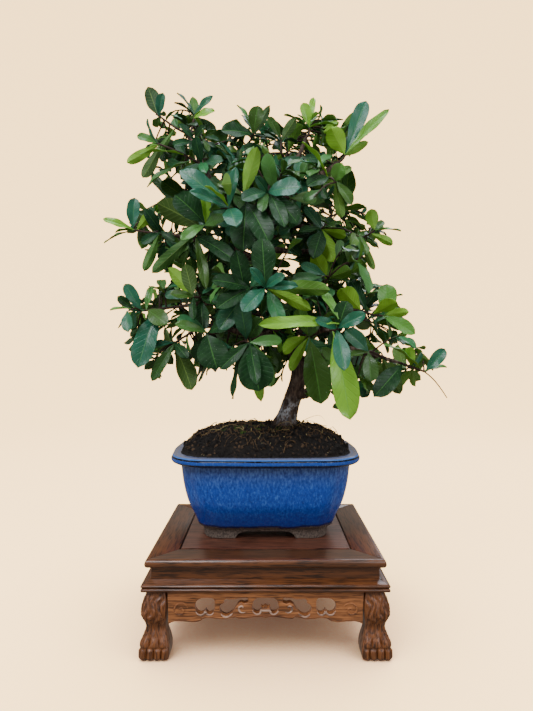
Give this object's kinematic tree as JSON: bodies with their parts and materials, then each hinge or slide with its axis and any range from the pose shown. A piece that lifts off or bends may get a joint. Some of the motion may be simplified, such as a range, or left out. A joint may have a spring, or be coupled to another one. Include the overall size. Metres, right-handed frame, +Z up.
{
  "type": "potted bonsai on a stand",
  "caption": "Small evergreen bonsai with a leaning trunk and leafy shoots, in a rectangular glazed pot on a low carved wooden stand.",
  "frame": {"origin": "under the middle of the whole object's box, on the surface that the stand's feet rest on", "axes": "+Z up, -Y the front face of the stand and pot, +X to the right seen from the front"},
  "size_m": [0.293, 0.202, 0.4604],
  "materials": {
    "stand_hardwood": "dark stained hardwood, satin lacquer over carved and moulded edges",
    "panel_hardwood": "dark stained hardwood panel, satin lacquer",
    "blue_glaze": "glossy streaked blue glaze on stoneware, bare grey-brown clay at the feet",
    "potting_soil": "loose dark peaty soil with fibres",
    "screen_plastic": "black plastic mesh",
    "bark": "rough dark brown bark",
    "foliage": "glossy dark green leathery leaves on thin brown twigs"
  },
  "bodies": {
    "root": {"stand_top_rail_front": "stand_hardwood", "stand_top_rail_right": "stand_hardwood", "stand_top_rail_back": "stand_hardwood", "stand_top_rail_left": "stand_hardwood", "stand_waist_board_front": "stand_hardwood", "stand_waist_board_right": "stand_hardwood", "stand_waist_board_back": "stand_hardwood", "stand_waist_board_left": "stand_hardwood", "stand_moulding_front": "stand_hardwood", "stand_moulding_right": "stand_hardwood", "stand_moulding_back": "stand_hardwood", "stand_moulding_left": "stand_hardwood", "stand_panel": "panel_hardwood", "stand_leg_front_left": "stand_hardwood", "stand_leg_front_right": "stand_hardwood", "stand_leg_back_right": "stand_hardwood", "stand_leg_back_left": "stand_hardwood", "stand_apron_front": "stand_hardwood", "stand_apron_right": "stand_hardwood", "stand_apron_back": "stand_hardwood", "stand_apron_left": "stand_hardwood", "glazed_pot": "blue_glaze", "drain_screen_left": "screen_plastic", "drain_screen_right": "screen_plastic", "trunk_and_limbs": "bark", "soil": "potting_soil", "shoot_top_left_tip": "foliage", "shoot_top_left_crown": "foliage", "shoot_top_left_side": "foliage", "shoot_top_centre": "foliage", "shoot_top_mid": "foliage", "shoot_top_right_centre": "foliage", "shoot_top_right_tip": "foliage", "shoot_top_right_side": "foliage", "shoot_upper_centre": "foliage", "shoot_front_high_tip": "foliage", "shoot_front_high_side": "foliage", "shoot_left_high_tip": "foliage", "shoot_left_high_big": "foliage", "shoot_left_mid_tip": "foliage", "shoot_left_mid_inner": "foliage", "shoot_left_mid_front": "foliage", "shoot_left_low_tip": "foliage", "shoot_left_low_front": "foliage", "shoot_front_left_tip": "foliage", "shoot_front_mid_tip": "foliage", "shoot_front_low_tip": "foliage", "shoot_front_low_side": "foliage", "shoot_right_low_tip": "foliage", "shoot_right_low_mid": "foliage", "shoot_right_mid_tip": "foliage", "shoot_right_mid_up": "foliage", "shoot_right_high_tip": "foliage", "shoot_right_high_front": "foliage", "shoot_back_low_left_tip": "foliage", "shoot_back_low_right_tip": "foliage", "shoot_back_mid_tip": "foliage", "shoot_back_right_tip": "foliage", "shoot_back_left_tip": "foliage", "shoot_back_top_tip": "foliage"}
  },
  "joints": []
}
